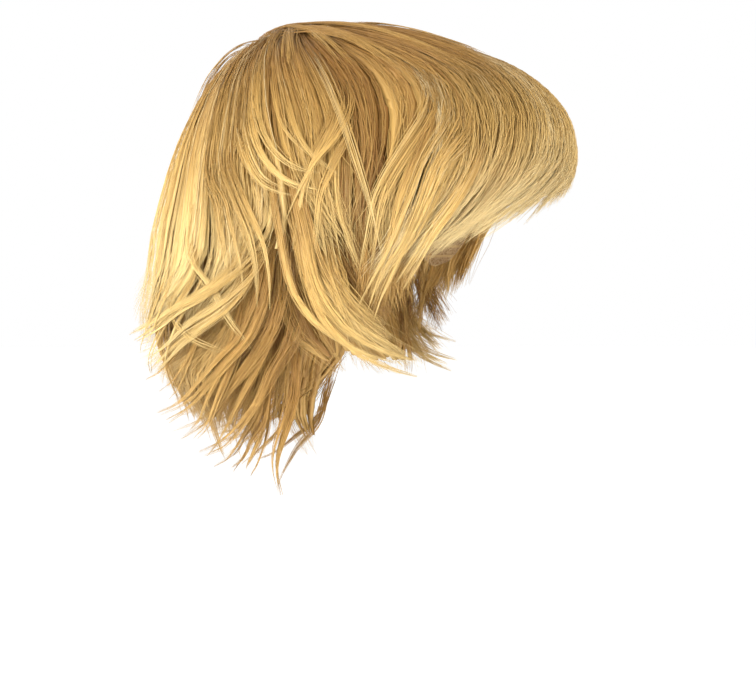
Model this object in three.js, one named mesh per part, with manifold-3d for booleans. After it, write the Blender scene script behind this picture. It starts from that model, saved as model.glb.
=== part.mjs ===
// Short layered wig with a side-swept fringe, as it stands on a head: a thin cap that fits the skull,
// and eight hair pieces that lie over it and each other like roof tiles, each one ending in pointed
// locks. Millimetres, +Z up. The face opening looks along -Y, the wearer's right side is -X, and the
// origin is the top of the head inside the cap.
import * as THREE from "three";
import { mergeVertices } from "three/addons/utils/BufferGeometryUtils.js";
import Module from "manifold-3d";

const wasm = await Module();
wasm.setup();

// The head that the cap fits
const HEAD_LENGTH = 190; // forehead to the back of the head
const HEAD_BREADTH = 150; // over the ears
const HAIR_DROP = 267; // from the top of the head to the lowest tip at the nape

// Walls and clearances
const CAP_WALL = 1.5;
const LAYER_GAP = 0.6; // between the cap, each hair piece and the next one over it
const LAYER_WALL = 10; // the most that one hair piece is thick
const TIP_WALL = 1.2; // a lock's thickness at its tip
const TIP_WIDTH = 1.8; // a lock's width at its tip
const LOCK_RELIEF = 2.4; // from a lock's crest down to the valley beside it
const RELIEF_RUN = 0.18; // the share of the hair's way over which the valleys deepen

// The cap's edge in side view: forehead, tab before the ear, arch over it, and nape
const FOREHEAD_EDGE = 56;
const TAB_DROP = 130;
const EAR_ARCH = 104;
const NAPE_EDGE = 172;

// The head from the crown, where the hair starts, down to the neck, as rings. level is a ring's place
// along the hair. In plan, front, centre and back are places along the head as shares of HEAD_LENGTH,
// with the face at -Y, and side is half the width as a share of HEAD_BREADTH. The drops are how far a
// ring's front, side and back lie under the top of the head, as shares of HAIR_DROP.
const HEAD_FORM = {
  plan: [
    { level: 0.0, front: 0.24, centre: 0.24, back: 0.24, side: 0.0 },
    { level: 0.04, front: 0.15, centre: 0.23, back: 0.32, side: 0.12 },
    { level: 0.1, front: 0.01, centre: 0.21, back: 0.39, side: 0.25 },
    { level: 0.18, front: -0.18, centre: 0.18, back: 0.46, side: 0.38 },
    { level: 0.27, front: -0.34, centre: 0.14, back: 0.51, side: 0.46 },
    { level: 0.36, front: -0.43, centre: 0.105, back: 0.53, side: 0.495 },
    { level: 0.45, front: -0.47, centre: 0.075, back: 0.525, side: 0.5 },
    { level: 0.54, front: -0.47, centre: 0.05, back: 0.495, side: 0.487 },
    { level: 0.63, front: -0.44, centre: 0.04, back: 0.437, side: 0.46 },
    { level: 0.72, front: -0.41, centre: 0.04, back: 0.368, side: 0.42 },
    { level: 0.81, front: -0.38, centre: 0.04, back: 0.32, side: 0.387 },
    { level: 0.9, front: -0.35, centre: 0.04, back: 0.3, side: 0.373 },
    { level: 1.0, front: -0.33, centre: 0.04, back: 0.3, side: 0.373 },
  ],
  drops: [
    { level: 0.0, front: 0.026, side: 0.026, back: 0.026 },
    { level: 0.04, front: 0.011, side: 0.03, back: 0.049 },
    { level: 0.1, front: 0.0, side: 0.045, back: 0.09 },
    { level: 0.18, front: 0.03, side: 0.112, back: 0.157 },
    { level: 0.27, front: 0.097, side: 0.195, back: 0.232 },
    { level: 0.36, front: 0.195, side: 0.285, back: 0.315 },
    { level: 0.45, front: 0.318, side: 0.378, back: 0.404 },
    { level: 0.54, front: 0.42, side: 0.472, back: 0.494 },
    { level: 0.63, front: 0.543, side: 0.566, back: 0.584 },
    { level: 0.72, front: 0.644, side: 0.66, back: 0.674 },
    { level: 0.81, front: 0.738, side: 0.757, back: 0.772 },
    { level: 0.9, front: 0.861, side: 0.869, back: 0.876 },
    { level: 1.0, front: 1.0, side: 1.0, back: 1.0 },
  ],
};

// The hair's outer form at the same levels
const HAIR_FORM = {
  plan: [
    { level: 0.0, front: 0.24, centre: 0.24, back: 0.24, side: 0.0 },
    { level: 0.04, front: 0.13, centre: 0.23, back: 0.34, side: 0.16 },
    { level: 0.1, front: -0.02, centre: 0.21, back: 0.43, side: 0.31 },
    { level: 0.18, front: -0.24, centre: 0.18, back: 0.52, side: 0.465 },
    { level: 0.27, front: -0.45, centre: 0.14, back: 0.59, side: 0.57 },
    { level: 0.36, front: -0.59, centre: 0.105, back: 0.645, side: 0.63 },
    { level: 0.45, front: -0.635, centre: 0.075, back: 0.685, side: 0.665 },
    { level: 0.54, front: -0.6, centre: 0.05, back: 0.72, side: 0.675 },
    { level: 0.63, front: -0.55, centre: 0.04, back: 0.735, side: 0.675 },
    { level: 0.72, front: -0.5, centre: 0.04, back: 0.735, side: 0.66 },
    { level: 0.81, front: -0.47, centre: 0.04, back: 0.66, side: 0.61 },
    { level: 0.9, front: -0.42, centre: 0.04, back: 0.51, side: 0.52 },
    { level: 1.0, front: -0.37, centre: 0.04, back: 0.36, side: 0.41 },
  ],
  drops: [
    { level: 0.0, front: -0.036, side: -0.036, back: -0.036 },
    { level: 0.04, front: -0.047, side: -0.032, back: -0.018 },
    { level: 0.1, front: -0.048, side: -0.011, back: 0.008 },
    { level: 0.18, front: -0.014, side: 0.05, back: 0.072 },
    { level: 0.27, front: 0.052, side: 0.14, back: 0.157 },
    { level: 0.36, front: 0.142, side: 0.24, back: 0.24 },
    { level: 0.45, front: 0.247, side: 0.34, back: 0.33 },
    { level: 0.54, front: 0.352, side: 0.442, back: 0.42 },
    { level: 0.63, front: 0.45, side: 0.543, back: 0.517 },
    { level: 0.72, front: 0.562, side: 0.644, back: 0.614 },
    { level: 0.81, front: 0.693, side: 0.749, back: 0.719 },
    { level: 0.9, front: 0.843, side: 0.861, back: 0.843 },
    { level: 1.0, front: 1.0, side: 1.0, back: 1.0 },
  ],
};

// The levels that every piece has its rows on, so that neighbours' facets lie alike
const LEVELS = HEAD_FORM.plan.map((row) => row.level);

// Each piece's inner and outer face, as shares of the way from the head out to the hair's outer form
const CROWN_BANDS = [
  { level: 0.0, inner: 0.1, outer: 1.0 },
  { level: 0.1, inner: 0.5, outer: 1.0 },
  { level: 0.27, inner: 0.68, outer: 1.0 },
  { level: 1.0, inner: 0.72, outer: 1.0 },
];
const FRINGE_BANDS = [
  { level: 0.1, inner: 0.1, outer: 0.45 },
  { level: 0.18, inner: 0.2, outer: 0.8 },
  { level: 0.27, inner: 0.4, outer: 1.0 },
  { level: 1.0, inner: 0.5, outer: 1.0 },
];
const SIDE_BANDS = [
  { level: 0.27, inner: 0.0, outer: 0.35 },
  { level: 0.45, inner: 0.1, outer: 0.48 },
  { level: 0.54, inner: 0.2, outer: 0.6 },
  { level: 0.63, inner: 0.4, outer: 0.8 },
  { level: 0.72, inner: 0.4, outer: 0.74 },
  { level: 1.0, inner: 0.3, outer: 0.6 },
];
const CHEEK_BANDS = [
  { level: 0.45, inner: 0.52, outer: 0.69 },
  { level: 0.54, inner: 0.64, outer: 0.84 },
  { level: 0.63, inner: 0.84, outer: 1.02 },
  { level: 0.72, inner: 0.8, outer: 1.0 },
  { level: 1.0, inner: 0.5, outer: 0.72 },
];
const BACK_BANDS = [
  { level: 0.27, inner: 0.0, outer: 0.62 },
  { level: 0.45, inner: 0.24, outer: 0.64 },
  { level: 0.72, inner: 0.42, outer: 0.68 },
  { level: 0.81, inner: 0.6, outer: 0.95 },
  { level: 1.0, inner: 0.6, outer: 1.0 },
];
const NAPE_BANDS = [
  { level: 0.45, inner: 0.0, outer: 0.18 },
  { level: 0.54, inner: 0.0, outer: 0.28 },
  { level: 0.72, inner: 0.1, outer: 0.38 },
  { level: 0.81, inner: 0.2, outer: 0.52 },
  { level: 0.9, inner: 0.3, outer: 0.95 },
  { level: 1.0, inner: 0.1, outer: 1.0 },
];

// How the locks run. at is the place across the piece, root and tip the angle round the head from
// the face, split the level where a lock leaves its neighbours, end its tip's level, flick how far
// the tip turns out as a share of the hair's depth there, and hook its last sideways turn.
const CROWN_FLOW = bothSides([
  { at: 0.0, root: 0, tip: 0, split: 0.1, end: 0.22, flick: 0, hook: 4 },
  { at: 0.16, root: 54, tip: 56, split: 0.1, end: 0.25, flick: 0, hook: 2 },
  { at: 0.19, root: 61, tip: 63, split: 0.36, end: 0.54, flick: 0, hook: 5 },
  { at: 0.29, root: 90, tip: 93, split: 0.36, end: 0.6, flick: 0.02, hook: 4 },
  { at: 0.34, root: 108, tip: 108, split: 0.36, end: 0.52, flick: 0.03, hook: -8 },
  { at: 0.37, root: 122, tip: 124, split: 0.45, end: 0.6, flick: 0.03, hook: 6 },
  { at: 0.42, root: 144, tip: 148, split: 0.54, end: 0.76, flick: 0.12, hook: 12 },
  { at: 0.5, root: 180, tip: 180, split: 0.63, end: 0.78, flick: 0.16, hook: 0 },
]);
const FRINGE_FLOW = [
  { at: 0.0, root: -62, tip: -50, split: 0.45, end: 0.57, flick: 0, hook: 6 },
  { at: 0.25, root: -32, tip: -2, split: 0.45, end: 0.57, flick: 0, hook: 10 },
  { at: 0.5, root: -6, tip: 26, split: 0.45, end: 0.57, flick: 0, hook: 12 },
  { at: 0.75, root: 24, tip: 46, split: 0.45, end: 0.57, flick: 0, hook: 9 },
  { at: 1.0, root: 60, tip: 60, split: 0.45, end: 0.575, flick: 0, hook: 5 },
];
const SIDE_FLOW = [
  { at: 0.0, root: 46, tip: 80, split: 0.54, end: 0.7, flick: 0, hook: 2 },
  { at: 0.4, root: 74, tip: 88, split: 0.54, end: 0.72, flick: 0, hook: -2 },
  { at: 0.7, root: 98, tip: 104, split: 0.63, end: 0.79, flick: 0, hook: -8 },
  { at: 1.0, root: 122, tip: 123, split: 0.63, end: 0.83, flick: 0, hook: -4 },
];
const CHEEK_FLOW = [
  { at: 0.0, root: 85, tip: 80, split: 0.63, end: 0.745, flick: 0, hook: -14 },
  { at: 0.5, root: 93, tip: 87, split: 0.63, end: 0.785, flick: 0, hook: -32 },
  { at: 1.0, root: 103, tip: 96, split: 0.63, end: 0.79, flick: 0, hook: -24 },
];
const BACK_FLOW = bothSides([
  { at: 0.0, root: 122, tip: 140, split: 0.63, end: 0.84, flick: 0.2, hook: 14 },
  { at: 0.25, root: 150, tip: 158, split: 0.72, end: 0.87, flick: 0.3, hook: 8 },
  { at: 0.5, root: 180, tip: 180, split: 0.72, end: 0.88, flick: 0.4, hook: 0 },
]);
const NAPE_FLOW = bothSides([
  { at: 0.0, root: 104, tip: 124, split: 0.72, end: 0.82, flick: 0, hook: 4 },
  { at: 0.16, root: 124, tip: 142, split: 0.81, end: 1.0, flick: 0, hook: 2 },
  { at: 0.3, root: 146, tip: 158, split: 0.81, end: 0.97, flick: 0.5, hook: 4 },
  { at: 0.5, root: 180, tip: 180, split: 0.81, end: 0.94, flick: 0.9, hook: 0 },
]);

// Neighbouring tips end at different levels, in this repeating pattern of shares of TIP_STAGGER
const TIP_STAGGER = 0.028;
const STAGGER_PATTERN = [0.2, -0.7, 0.6, -0.1, -1, 0.4, 0];

// The hair pieces from the outermost inward
const PIECES = {
  crown_hair: { locks: 27, root: 0, round: true, bands: CROWN_BANDS, flow: CROWN_FLOW, sweep: 1.5 },
  fringe: { locks: 12, root: 0.1, bands: FRINGE_BANDS, flow: FRINGE_FLOW, sweep: 2.2 },
  cheek_lock_right: { locks: 3, root: 0.45, bands: CHEEK_BANDS, flow: CHEEK_FLOW, sweep: 1.5 },
  cheek_lock_left: { locks: 3, root: 0.45, bands: CHEEK_BANDS, flow: CHEEK_FLOW, sweep: 1.5, mirror: true },
  side_hair_right: { locks: 9, root: 0.27, bands: SIDE_BANDS, flow: SIDE_FLOW, sweep: 2 },
  side_hair_left: { locks: 9, root: 0.27, bands: SIDE_BANDS, flow: SIDE_FLOW, sweep: 2, mirror: true },
  back_hair: { locks: 11, root: 0.27, bands: BACK_BANDS, flow: BACK_FLOW, sweep: 2 },
  nape_hair: { locks: 13, root: 0.45, bands: NAPE_BANDS, flow: NAPE_FLOW, sweep: 1 },
};

const CAP_COLUMNS = 30; // facets round the cap
const CAP_LAST_LEVEL = 0.81; // the cap's form runs past its edge, which is then cut
const PRONG_ROWS = 4; // facets along a lock's free end
const WELD = 1e-3; // corners nearer than this are one
const SLIVER = 0.05; // facets thinner than this go when locks are fused

const HAIR_COLOUR = 0xd9b36a;
const CAP_COLOUR = 0xc9a878;
const HAIR_ROUGHNESS = 0.45;
const CAP_ROUGHNESS = 0.85;

// A flow table for the wearer's right half, with its mirror image added for the left half
function bothSides(rows) {
  const mirrored = rows.slice(0, -1).reverse();
  return rows.concat(
    mirrored.map((row) => ({
      ...row,
      at: 1 - row.at,
      root: 360 - row.root,
      tip: 360 - row.tip,
      hook: -row.hook,
    })),
  );
}

// A table's columns at one place, straight between its rows
function lookUp(table, key, place) {
  const last = table.length - 1;
  const found = table.findIndex((row) => row[key] >= place);
  const next = THREE.MathUtils.clamp(found < 0 ? last : found, 1, last);
  const [low, high] = [table[next - 1], table[next]];
  const share = THREE.MathUtils.clamp((place - low[key]) / (high[key] - low[key]), 0, 1);
  const row = {};
  for (const column of Object.keys(low)) {
    row[column] = THREE.MathUtils.lerp(low[column], high[column], share);
  }
  return row;
}

// A point of one of the two forms, at an angle round it from the face towards the wearer's right
function formPoint(form, level, angle) {
  const plan = lookUp(form.plan, "level", level);
  const drops = lookUp(form.drops, "level", level);
  const turn = THREE.MathUtils.degToRad(angle);
  const along = Math.cos(turn);
  const end = along > 0 ? "front" : "back";
  return new THREE.Vector3(
    -plan.side * Math.sin(turn) * HEAD_BREADTH,
    (plan.centre + (plan[end] - plan.centre) * Math.abs(along)) * HEAD_LENGTH,
    -THREE.MathUtils.lerp(drops.side, drops[end], along ** 2) * HAIR_DROP,
  );
}

// A point at a share of the way from the head to the hair's outer form, and a distance beyond it
function hairPoint(level, angle, share, beyond = 0) {
  const onHead = formPoint(HEAD_FORM, level, angle);
  const outward = formPoint(HAIR_FORM, level, angle).sub(onHead);
  return onHead.addScaledVector(outward, share + beyond / outward.length());
}

// The hair's depth at a place, which turns a length into a share of it
function hairDepth(level, angle) {
  const onHead = formPoint(HEAD_FORM, level, angle);
  return onHead.distanceTo(formPoint(HAIR_FORM, level, angle));
}

// Triangles collected as loose corners and welded into one solid
class Skin {
  constructor() {
    this.corners = [];
  }

  triangle(a, b, c) {
    if (a.equals(b) || b.equals(c) || c.equals(a)) return;
    for (const p of [a, b, c]) this.corners.push(p.x, p.y, p.z);
  }

  quad(a, b, c, d) {
    this.triangle(a, b, c);
    this.triangle(a, c, d);
  }

  solid(mirrored) {
    const geometry = new THREE.BufferGeometry();
    geometry.setAttribute("position", new THREE.Float32BufferAttribute(this.corners, 3));
    return toSolid(geometry, mirrored);
  }
}

function toSolid(geometry, mirrored) {
  const bare = new THREE.BufferGeometry();
  bare.setAttribute("position", geometry.getAttribute("position"));
  if (geometry.index) bare.setIndex(geometry.index);
  const welded = mergeVertices(bare, WELD);
  const vertProperties = welded.getAttribute("position").array;
  const triVerts = new Uint32Array(welded.index.array);
  if (mirrored) triVerts.reverse();
  return new wasm.Manifold(new wasm.Mesh({ numProp: 3, vertProperties, triVerts }));
}

function toGeometry(solid) {
  const { vertProperties, triVerts } = solid.getMesh();
  const geometry = new THREE.BufferGeometry();
  geometry.setAttribute("position", new THREE.BufferAttribute(vertProperties, 3));
  geometry.setIndex(new THREE.BufferAttribute(triVerts, 1));
  return geometry;
}

function toMesh(name, solid, colour, roughness) {
  const geometry = toGeometry(solid);
  geometry.computeVertexNormals();
  const mesh = new THREE.Mesh(geometry, new THREE.MeshStandardMaterial({ color: colour, roughness }));
  mesh.name = name;
  return mesh;
}

// Where a line of the flow lies at a level
function lineAngle(piece, row, level) {
  const along = Math.max(0, (level - piece.root) / (row.end - piece.root));
  return THREE.MathUtils.lerp(row.root, row.tip, along ** piece.sweep);
}

// The outer and inner corner of a piece's wall. dip is how far the outer face is sunk, and grow how far
// both faces are pushed out, for the room that the piece takes up in those under it.
function wallCorners(piece, level, angle, dip, grow) {
  const band = lookUp(piece.bands, "level", level);
  const depth = hairDepth(level, angle);
  const floor = (CAP_WALL + LAYER_GAP) / depth;
  const outer = Math.max(band.outer - dip / depth, floor + TIP_WALL / depth);
  const inner = Math.max(band.inner, band.outer - LAYER_WALL / depth, floor);
  const turned = piece.mirror ? -angle : angle;
  return {
    outer: hairPoint(level, turned, outer, grow),
    inner: hairPoint(level, turned, Math.min(inner, outer - TIP_WALL / depth), -grow),
  };
}

// The flow's row for the middle of a lock, and the level where that lock splits from its neighbours
function lockRow(piece, index) {
  const wrapped = piece.round ? (index + piece.locks) % piece.locks : index;
  return lookUp(piece.flow, "at", (wrapped + 0.5) / piece.locks);
}

function splitLevel(piece, index) {
  const { split } = lockRow(piece, index);
  return LEVELS.findLast((level) => level <= split + 1e-6);
}

// The rings of one lock down to its split: left edge, crest and right edge. It meets its neighbours
// in a valley, down to the level where the first of the two splits off.
function sharedRings(piece, index, grow) {
  const middle = lockRow(piece, index);
  const own = splitLevel(piece, index);
  const sides = [0, 1].map((side) => {
    const neighbour = index + (side ? 1 : -1);
    const alone = !piece.round && (neighbour < 0 || neighbour >= piece.locks);
    const place = piece.round ? (index + side) % piece.locks : index + side;
    return {
      edge: lookUp(piece.flow, "at", place / piece.locks),
      last: alone ? own : Math.min(own, splitLevel(piece, neighbour)),
      alone,
    };
  });
  const rows = LEVELS.filter((level) => level >= piece.root - 1e-6 && level <= own + 1e-6);
  return rows.map((level) => {
    const crest = wallCorners(piece, level, lineAngle(piece, middle, level), 0, grow);
    const relief = LOCK_RELIEF * Math.min(1, (level - piece.root) / RELIEF_RUN);
    const [left, right] = sides.map(({ edge, last, alone }) => {
      const corners = wallCorners(piece, level, lineAngle(piece, edge, level), relief, grow);
      const free = level > last + 1e-6;
      if (free || alone) {
        const share = ((free ? LAYER_GAP : 0) - grow) / corners.outer.distanceTo(crest.outer);
        corners.outer.lerp(crest.outer, share);
        corners.inner.lerp(crest.inner, share);
      }
      return corners;
    });
    return [left, crest, right];
  });
}

// The rings of a lock's free end, which narrows and thins from the last shared ring to its tip
function prongRings(piece, index, grow) {
  const middle = lockRow(piece, index);
  const split = splitLevel(piece, index);
  const hand = piece.mirror ? -1 : 1;
  const stagger = TIP_STAGGER * STAGGER_PATTERN[index % STAGGER_PATTERN.length];
  const end = Math.max(middle.end + stagger, split + TIP_STAGGER);
  const start = sharedRings(piece, index, 0).at(-1);
  const startWidth = start[0].outer.distanceTo(start[2].outer);
  const startWall = start[1].outer.distanceTo(start[1].inner);
  const crestAt = (along) => {
    const level = THREE.MathUtils.lerp(split, end, along);
    const angle = lineAngle(piece, middle, level) + middle.hook * along ** 2;
    const { outer } = lookUp(piece.bands, "level", level);
    return { level, angle, share: outer + middle.flick * along ** 2 };
  };
  const rings = [];
  for (let row = 1; row <= PRONG_ROWS; row++) {
    const along = row / PRONG_ROWS;
    const { level, angle, share } = crestAt(along);
    const before = crestAt(along - 0.5 / PRONG_ROWS);
    const crest = hairPoint(level, hand * angle, share);
    const down = crest.clone().sub(hairPoint(before.level, hand * before.angle, before.share));
    const inward = hairPoint(level, hand * angle, share - 0.1).sub(crest);
    const across = new THREE.Vector3().crossVectors(down, inward).normalize();
    inward.crossVectors(across, down).normalize();
    const taper = Math.sqrt(1 - along ** 2);
    const halfWidth = Math.max(TIP_WIDTH, 0.9 * startWidth * taper) / 2;
    const wall = Math.max(TIP_WALL, startWall * taper);
    const sunk = Math.min(LOCK_RELIEF * taper, wall / 2);
    const corner = (side, depth) => crest.clone().addScaledVector(across, side).addScaledVector(inward, depth);
    const pair = (side, depth) => ({ outer: corner(side, depth - grow), inner: corner(side, wall + grow) });
    const reach = hand * (halfWidth + grow);
    rings.push([pair(reach, sunk), pair(0, 0), pair(-reach, sunk)]);
  }
  return rings;
}

// One lock as a closed strip through its rings
function lockSolid(piece, index, grow) {
  const rings = sharedRings(piece, index, grow).concat(prongRings(piece, index, grow));
  const skin = new Skin();
  for (let r = 1; r < rings.length; r++) {
    const [above, below] = [rings[r - 1], rings[r]];
    for (const column of [0, 1]) {
      const [a, b, c, d] = [above[column], above[column + 1], below[column + 1], below[column]];
      skin.quad(a.outer, b.outer, c.outer, d.outer);
      skin.quad(a.inner, d.inner, c.inner, b.inner);
    }
    skin.quad(above[0].outer, below[0].outer, below[0].inner, above[0].inner);
    skin.quad(above[2].outer, above[2].inner, below[2].inner, below[2].outer);
  }
  const [first, last] = [rings[0], rings.at(-1)];
  for (const column of [0, 1]) {
    skin.quad(first[column].inner, first[column + 1].inner, first[column + 1].outer, first[column].outer);
    skin.quad(last[column].outer, last[column + 1].outer, last[column + 1].inner, last[column].inner);
  }
  return skin.solid(piece.mirror);
}

// All locks of a piece fused
function hairSolid(piece, grow) {
  let fused = lockSolid(piece, 0, grow);
  for (let index = 1; index < piece.locks; index++) fused = fused.add(lockSolid(piece, index, grow));
  return fused;
}

// The largest body of a solid, without slivers. A pocket closed between two locks becomes solid.
function oneBody(solid) {
  const bodies = solid.simplify(SLIVER).decompose();
  return bodies.reduce((most, body) => (body.volume() > most.volume() ? body : most));
}

// The region under the cap's edge in side view, right across the head
function belowCapEdge() {
  const front = -HEAD_LENGTH;
  const shape = new THREE.Shape();
  shape.moveTo(front, -FOREHEAD_EDGE);
  shape.lineTo(-0.4 * HEAD_LENGTH, -FOREHEAD_EDGE);
  shape.bezierCurveTo(
    -0.34 * HEAD_LENGTH, -FOREHEAD_EDGE,
    -0.26 * HEAD_LENGTH, -TAB_DROP,
    -0.13 * HEAD_LENGTH, -TAB_DROP,
  );
  shape.bezierCurveTo(
    -0.07 * HEAD_LENGTH, -TAB_DROP,
    -0.09 * HEAD_LENGTH, -EAR_ARCH,
    0.02 * HEAD_LENGTH, -EAR_ARCH,
  );
  shape.bezierCurveTo(
    0.18 * HEAD_LENGTH, -EAR_ARCH,
    0.2 * HEAD_LENGTH, -NAPE_EDGE,
    0.36 * HEAD_LENGTH, -NAPE_EDGE,
  );
  shape.lineTo(HEAD_LENGTH, -NAPE_EDGE);
  shape.lineTo(HEAD_LENGTH, -HAIR_DROP);
  shape.lineTo(front, -HAIR_DROP);
  const cutter = new THREE.ExtrudeGeometry(shape, {
    depth: 2 * HEAD_BREADTH,
    bevelEnabled: false,
    curveSegments: 8,
  });
  // The shape is drawn in X and Y: turned to stand in Y and Z, and centred across the head
  cutter.applyMatrix4(new THREE.Matrix4().set(0, 0, 1, -HEAD_BREADTH, 1, 0, 0, 0, 0, 1, 0, 0, 0, 0, 0, 1));
  return cutter;
}

function capSolid() {
  const levels = LEVELS.filter((level) => level <= CAP_LAST_LEVEL + 1e-6);
  const skin = new Skin();
  const corners = (level, column) => {
    const angle = (360 * (column % CAP_COLUMNS)) / CAP_COLUMNS;
    return { outer: hairPoint(level, angle, 0, CAP_WALL), inner: hairPoint(level, angle, 0) };
  };
  for (let column = 0; column < CAP_COLUMNS; column++) {
    for (let r = 1; r < levels.length; r++) {
      const [a, b] = [corners(levels[r - 1], column), corners(levels[r - 1], column + 1)];
      const [c, d] = [corners(levels[r], column + 1), corners(levels[r], column)];
      skin.quad(a.outer, b.outer, c.outer, d.outer);
      skin.quad(a.inner, d.inner, c.inner, b.inner);
    }
    const [e, f] = [corners(levels.at(-1), column), corners(levels.at(-1), column + 1)];
    skin.quad(e.outer, f.outer, f.inner, e.inner);
  }
  return skin.solid(false).subtract(toSolid(belowCapEdge(), false));
}

const wig = new THREE.Group();
wig.name = "wig";
wig.add(toMesh("cap", capSolid(), CAP_COLOUR, CAP_ROUGHNESS));
// Each piece gives way to the room that those over it take up
let taken = null;
for (const [name, piece] of Object.entries(PIECES)) {
  const whole = hairSolid(piece, 0);
  const solid = oneBody(taken ? whole.subtract(taken) : whole);
  wig.add(toMesh(name, solid, HAIR_COLOUR, HAIR_ROUGHNESS));
  const room = hairSolid(piece, LAYER_GAP);
  taken = taken ? taken.add(room) : room;
}

export default wig;
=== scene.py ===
import math

import bpy
import numpy as np
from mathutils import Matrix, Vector


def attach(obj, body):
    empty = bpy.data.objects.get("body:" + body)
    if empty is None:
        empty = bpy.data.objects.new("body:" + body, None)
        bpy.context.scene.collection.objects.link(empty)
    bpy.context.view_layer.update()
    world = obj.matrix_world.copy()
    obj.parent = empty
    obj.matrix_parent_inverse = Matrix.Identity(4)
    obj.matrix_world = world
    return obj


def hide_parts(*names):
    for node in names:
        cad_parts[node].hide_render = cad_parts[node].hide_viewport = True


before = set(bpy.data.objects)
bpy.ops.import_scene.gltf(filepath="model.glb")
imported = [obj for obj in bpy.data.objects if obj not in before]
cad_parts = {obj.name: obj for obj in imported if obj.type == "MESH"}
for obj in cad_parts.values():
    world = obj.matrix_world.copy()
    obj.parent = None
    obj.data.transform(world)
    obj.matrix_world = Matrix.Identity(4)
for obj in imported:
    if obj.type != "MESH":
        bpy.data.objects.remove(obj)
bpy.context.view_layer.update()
scene = bpy.context.scene


# The view is level, from the wearer's right and a little in front, as in the photograph.
# The lens gives 0.6 mm of hair to a pixel of a picture that is 756 pixels wide.
VIEW_AZIMUTH = math.radians(-80)
VIEW_DISTANCE = 1.6
VIEW_TARGET = Vector((0, -0.0006, -0.174))
VIEW_LENS = 127

camera = bpy.data.objects.new("camera", bpy.data.cameras.new("camera"))
camera.data.lens = VIEW_LENS
towards_camera = Vector((math.sin(VIEW_AZIMUTH), -math.cos(VIEW_AZIMUTH), 0))
camera.location = VIEW_TARGET + VIEW_DISTANCE * towards_camera
camera.rotation_euler = towards_camera.to_track_quat("Z", "Y").to_euler()
scene.collection.objects.link(camera)
scene.camera = camera
scene.view_settings.view_transform = "Standard"


# The floor is a plain sheet of pale matt studio paper, laid flat well below the wig. It glows a
# little, so that it looks as white as its surroundings.
FLOOR_HEIGHT = -0.42
FLOOR_CORNERS = ((-60, -60), (60, -60), (60, 60), (-60, 60))
PAPER_COLOUR = (0.96, 0.96, 0.95, 1)
PAPER_ROUGHNESS = 0.9
PAPER_GLOW = 0.25
PAPER_GRAIN = 60
DARKEST_GRAIN = 0.96
MIX_FIRST = 6  # the colour sockets of a Mix node
MIX_SECOND = 7
MIX_RESULT = 2


def add_node(tree, kind, **values):
    """A new shader node, with its properties and then its input sockets set by name."""
    made = tree.nodes.new(kind)
    for name, value in values.items():
        if hasattr(made, name):
            setattr(made, name, value)
        else:
            made.inputs[name.replace("_", " ")].default_value = value
    return made


def new_material(name):
    """A material with its Principled shader, ready for the nodes that feed it."""
    made = bpy.data.materials.new(name)
    made.use_nodes = True
    return made, made.node_tree, made.node_tree.nodes["Principled BSDF"]


paper, tree, shader = new_material("floor paper")
shader.inputs["Roughness"].default_value = PAPER_ROUGHNESS
shader.inputs["Emission Color"].default_value = PAPER_COLOUR
shader.inputs["Emission Strength"].default_value = PAPER_GLOW
grain = add_node(tree, "ShaderNodeTexNoise", Scale=PAPER_GRAIN, Detail=4)
shade = add_node(tree, "ShaderNodeMapRange", To_Min=DARKEST_GRAIN, To_Max=1)
tint = add_node(tree, "ShaderNodeMix", data_type="RGBA", blend_type="MULTIPLY")
tint.inputs["Factor"].default_value = 1
tint.inputs[MIX_FIRST].default_value = PAPER_COLOUR
tree.links.new(grain.outputs["Fac"], shade.inputs["Value"])
tree.links.new(shade.outputs["Result"], tint.inputs[MIX_SECOND])
tree.links.new(tint.outputs[MIX_RESULT], shader.inputs["Base Color"])

floor_mesh = bpy.data.meshes.new("floor")
corners = [(x, y, FLOOR_HEIGHT) for x, y in FLOOR_CORNERS]
floor_mesh.from_pydata(corners, [], [(0, 1, 2, 3)])
floor_mesh.materials.append(paper)
floor = bpy.data.objects.new("floor", floor_mesh)
scene.collection.objects.link(floor)


# The studio light is soft: white surroundings, a broad light a little above the camera towards the
# back of the wig, a second one towards its front, a low one for the brow and a weak one above.
SURROUND_SEEN = 1.0
SURROUND_LIGHT = 0.85
LIGHTS = (  # azimuth, height above the view's target, distance, size, watts
    (-128, 0.3, 2.0, 1.3, 47),
    (-38, 0.1, 2.2, 1.2, 37),
    (-30, -0.7, 1.6, 0.8, 12),
    (150, 1.6, 1.2, 1.0, 4),
)

scene.world = bpy.data.worlds.new("studio")
scene.world.use_nodes = True
surround = scene.world.node_tree.nodes["Background"]
surround.inputs["Color"].default_value = (1, 1, 1, 1)
tree = scene.world.node_tree
ray = add_node(tree, "ShaderNodeLightPath")
brightness = add_node(tree, "ShaderNodeMapRange", To_Min=SURROUND_LIGHT, To_Max=SURROUND_SEEN)
tree.links.new(ray.outputs["Is Camera Ray"], brightness.inputs["Value"])
tree.links.new(brightness.outputs["Result"], surround.inputs["Strength"])
for azimuth, height, distance, size, watts in LIGHTS:
    lamp = bpy.data.objects.new("studio_light", bpy.data.lights.new("studio_light", "AREA"))
    lamp.data.size = size
    lamp.data.energy = watts
    turn = math.radians(azimuth)
    away = Vector((distance * math.sin(turn), -distance * math.cos(turn), height))
    lamp.location = VIEW_TARGET + away
    lamp.rotation_euler = (lamp.location - VIEW_TARGET).to_track_quat("Z", "Y").to_euler()
    scene.collection.objects.link(lamp)


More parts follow.
